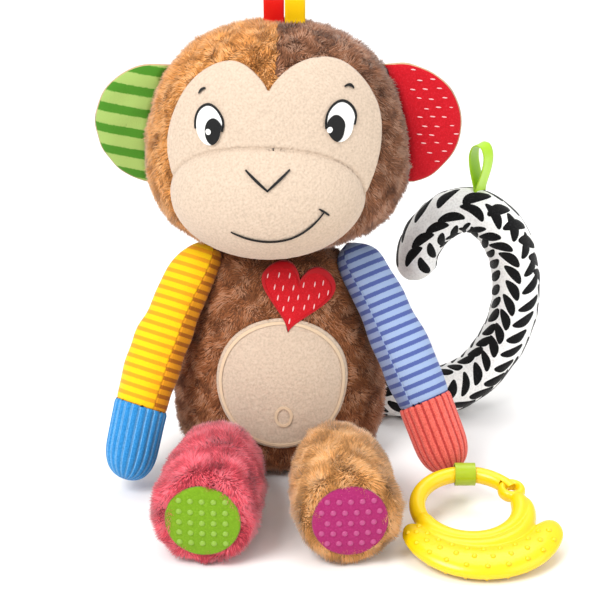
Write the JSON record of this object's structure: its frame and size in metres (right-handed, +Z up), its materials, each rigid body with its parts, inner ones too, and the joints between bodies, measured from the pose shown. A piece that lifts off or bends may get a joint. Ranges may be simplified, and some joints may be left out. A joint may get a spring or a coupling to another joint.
{
  "type": "plush activity monkey",
  "caption": "Seated plush activity monkey with striped arms, dotted soles, a curled tail, ribbon loops and a clip-on banana teether",
  "frame": {"origin": "middle of the torso's flat base, on the surface that the toy sits on", "axes": "+Z up, -Y the way the monkey faces, +X its own left"},
  "size_m": [0.2353, 0.2079, 0.2559],
  "materials": {
    "torso_plush": "brown minky plush with short pile",
    "head_plush_right": "golden brown plush with short pile",
    "head_plush_left": "dark brown plush with short pile",
    "beige_minky": "beige minky, crushed pile",
    "stuffing": "polyester fibre filling",
    "thread_white": "satin stitch",
    "thread_dark": "satin stitch",
    "thread_beige": "satin stitch",
    "heart_print": "red printed cotton with pale dashes",
    "thread_red": "satin stitch edge",
    "ear_green": "green striped knit",
    "ear_red": "red printed cotton with pale dashes",
    "crinkle_film": "crinkle film",
    "sleeve_yellow": "yellow and amber striped knit",
    "sleeve_blue": "light and mid blue striped knit",
    "hand_blue": "wide-wale corduroy",
    "hand_red": "wide-wale corduroy",
    "leg_coral": "coral plush",
    "leg_tan": "tan plush",
    "sole_green": "green jersey with raised rubber dots",
    "sole_magenta": "magenta jersey with raised rubber dots",
    "dots_green": "raised rubber dots",
    "dots_magenta": "raised rubber dots",
    "tail_print": "white cotton with black leaf print",
    "ribbon_red": "satin ribbon",
    "ribbon_yellow": "satin ribbon",
    "ribbon_lime": "satin ribbon",
    "teether_plastic": "soft gloss moulded plastic",
    "noise_parts": "moulded plastic"
  },
  "bodies": {
    "torso": {"torso_front_cover": "torso_plush", "torso_back_cover": "torso_plush", "torso_stuffing": "stuffing", "seat_panel": "torso_plush", "belly_patch": "beige_minky", "belly_rim_stitch": "thread_beige", "navel_stitch": "thread_beige", "heart_patch": "heart_print", "heart_edging": "thread_red", "squeaker_bellows": "noise_parts", "squeaker_reed": "noise_parts"},
    "neck": {"neck_stuffing": "stuffing"},
    "head": {"head_cover_left": "head_plush_left", "head_cover_right": "head_plush_right", "head_stuffing": "stuffing", "face_mask": "beige_minky", "muzzle_cover": "beige_minky", "muzzle_stuffing": "stuffing", "eye_whites": "thread_white", "eye_outlines": "thread_dark", "eye_pupils": "thread_dark", "eye_highlights": "thread_white", "brow_stitches": "thread_dark", "nose_stitch": "thread_dark", "mouth_stitch": "thread_dark"},
    "ear_left": {"ear_front_left": "ear_red", "ear_back_left": "beige_minky", "ear_film_left": "crinkle_film"},
    "ear_right": {"ear_front_right": "ear_green", "ear_back_right": "beige_minky", "ear_film_right": "crinkle_film"},
    "head_ribbons": {"head_ribbon_red": "ribbon_red", "head_ribbon_yellow": "ribbon_yellow"},
    "arm_left": {"sleeve_front_left": "sleeve_blue", "sleeve_back_left": "sleeve_blue", "hand_left": "hand_red", "arm_stuffing_left": "stuffing", "teether_ribbon": "ribbon_lime"},
    "arm_right": {"sleeve_front_right": "sleeve_yellow", "sleeve_back_right": "sleeve_yellow", "hand_right": "hand_blue", "arm_stuffing_right": "stuffing"},
    "teether": {"teether_ring": "teether_plastic", "teether_bananas": "teether_plastic"},
    "leg_left": {"leg_cover_left": "leg_tan", "leg_stuffing_left": "stuffing", "sole_left": "sole_magenta", "sole_dots_left": "dots_magenta", "rattle_capsule": "noise_parts", "rattle_beads": "noise_parts"},
    "leg_right": {"leg_cover_right": "leg_coral", "leg_stuffing_right": "stuffing", "sole_right": "sole_green", "sole_dots_right": "dots_green"},
    "tail": {"tail_cover": "tail_print", "tail_stuffing": "stuffing"},
    "tail_loop": {"tail_ribbon": "ribbon_lime"}
  },
  "joints": [
    {"name": "neck_turn", "type": "hinge", "parent": "torso", "child": "neck", "pos_m": [0, 0, 0.119], "axis": [0, 0, 1], "range_deg": [-40, 40], "stiffness_Nm_per_rad": 0.12},
    {"name": "neck_nod", "type": "hinge", "parent": "neck", "child": "head", "pos_m": [0, 0, 0.119], "axis": [1, 0, 0], "range_deg": [-6, 8], "stiffness_Nm_per_rad": 0.5},
    {"name": "ear_left_fold", "type": "hinge", "parent": "head", "child": "ear_left", "pos_m": [0.06172, 0.00256, 0.17808], "axis": [-0.0174, 0.001, 0.9998], "range_deg": [-30, 30], "stiffness_Nm_per_rad": 0.01},
    {"name": "ear_right_fold", "type": "hinge", "parent": "head", "child": "ear_right", "pos_m": [-0.06307, 0.00954, 0.1759], "axis": [0.0174, -0.001, -0.9998], "range_deg": [-30, 30], "stiffness_Nm_per_rad": 0.01},
    {"name": "head_ribbons_flop", "type": "hinge", "parent": "head", "child": "head_ribbons", "pos_m": [0.003, 0.003, 0.2309], "axis": [1, 0, 0], "range_deg": [-50, 50], "stiffness_Nm_per_rad": 0.002},
    {"name": "shoulder_left", "type": "hinge", "parent": "torso", "child": "arm_left", "pos_m": [0.042, -0.008, 0.1105], "axis": [-1, 0, 0], "range_deg": [-5, 60], "stiffness_Nm_per_rad": 0.15},
    {"name": "shoulder_right", "type": "hinge", "parent": "torso", "child": "arm_right", "pos_m": [-0.042, -0.008, 0.1105], "axis": [-1, 0, 0], "range_deg": [0, 60], "stiffness_Nm_per_rad": 0.15},
    {"name": "teether_swing", "type": "hinge", "parent": "arm_left", "child": "teether", "pos_m": [0.0925, -0.07, 0.019], "axis": [1, 0, 0], "range_deg": [-60, 80]},
    {"name": "hip_left", "type": "hinge", "parent": "torso", "child": "leg_left", "pos_m": [0.027, -0.0425, 0.016], "axis": [-1, 0, 0], "range_deg": [-55, 20], "stiffness_Nm_per_rad": 0.2},
    {"name": "hip_right", "type": "hinge", "parent": "torso", "child": "leg_right", "pos_m": [-0.027, -0.0425, 0.016], "axis": [-1, 0, 0], "range_deg": [-55, 20], "stiffness_Nm_per_rad": 0.2},
    {"name": "tail_swing", "type": "hinge", "parent": "torso", "child": "tail", "pos_m": [0.009, 0.0464, 0.013], "axis": [0, 0, 1], "range_deg": [-4, 60], "stiffness_Nm_per_rad": 0.3},
    {"name": "tail_ribbon_flop", "type": "hinge", "parent": "tail", "child": "tail_loop", "pos_m": [0.1075, 0.052, 0.1279], "axis": [0.6428, 0.766, 0], "range_deg": [-40, 40], "stiffness_Nm_per_rad": 0.002}
  ]
}
